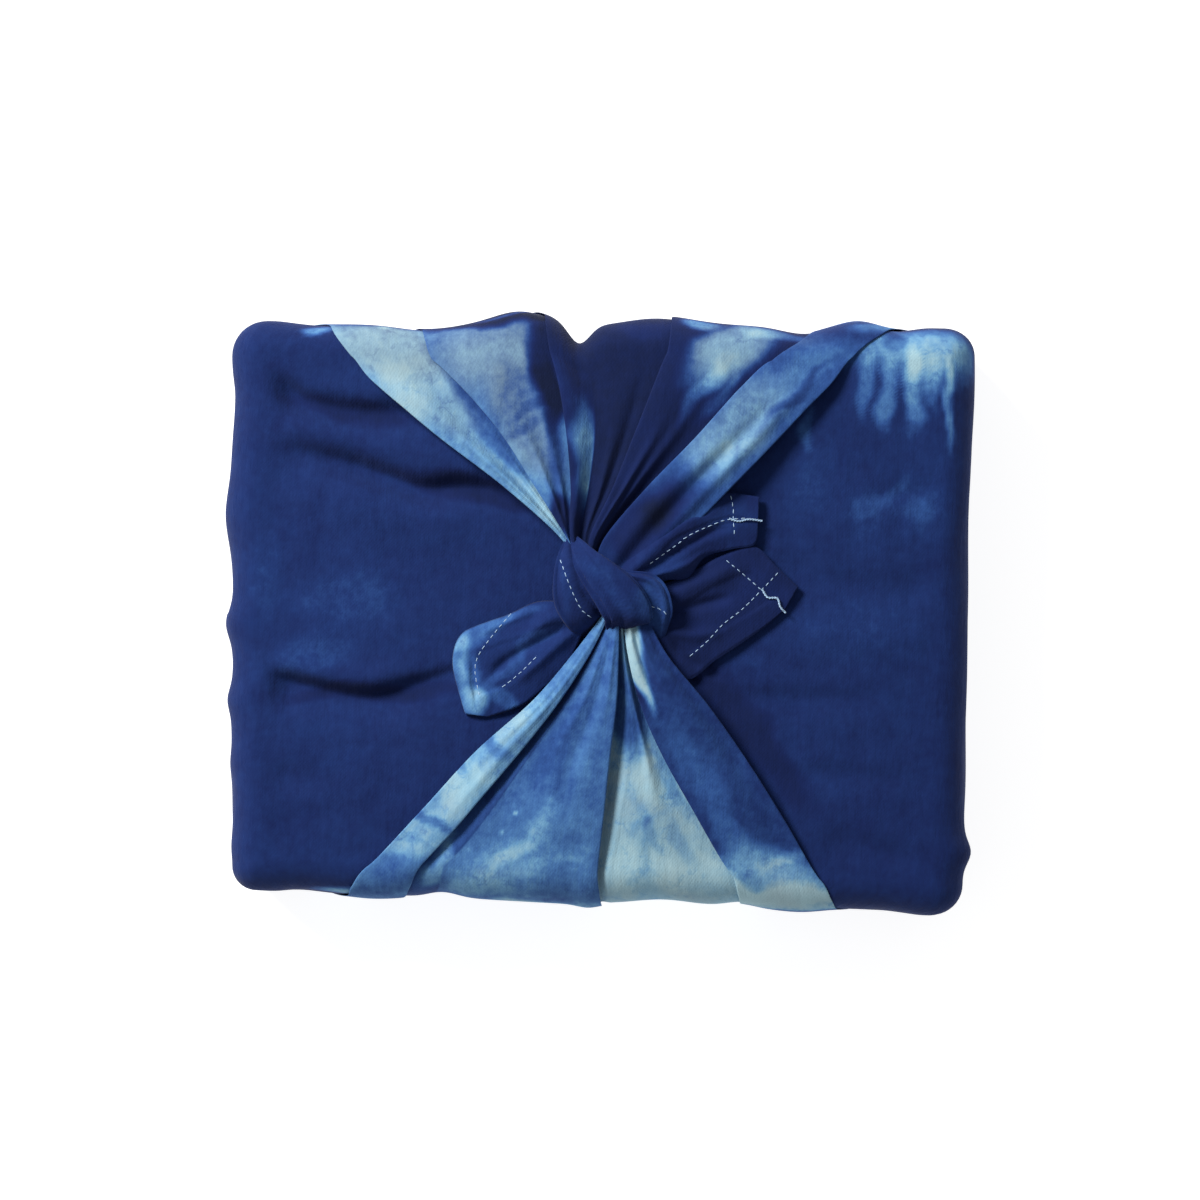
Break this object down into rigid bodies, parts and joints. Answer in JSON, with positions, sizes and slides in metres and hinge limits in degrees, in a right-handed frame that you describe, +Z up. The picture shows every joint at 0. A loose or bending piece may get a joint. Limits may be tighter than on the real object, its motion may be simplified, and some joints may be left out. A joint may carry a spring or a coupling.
{
  "type": "furoshiki wrap",
  "caption": "Square indigo tie-dyed cotton cloth folded round a flat rectangular parcel, its corners gathered in pleated fans and knotted on top, with short loose tails.",
  "frame": {"origin": "middle of the base of the object's bounding box, on the surface it stands on", "axes": "+X along the parcel's long side, +Y across it towards the upper fan, +Z up through the knot"},
  "size_m": [0.3616, 0.2946, 0.0986],
  "materials": {
    "dyed_cotton": "matt plain-weave cotton, indigo tie-dyed with pale blue bursts on the pleats"
  },
  "bodies": {
    "root": {"furoshiki_cloth": "dyed_cotton"}
  },
  "joints": []
}
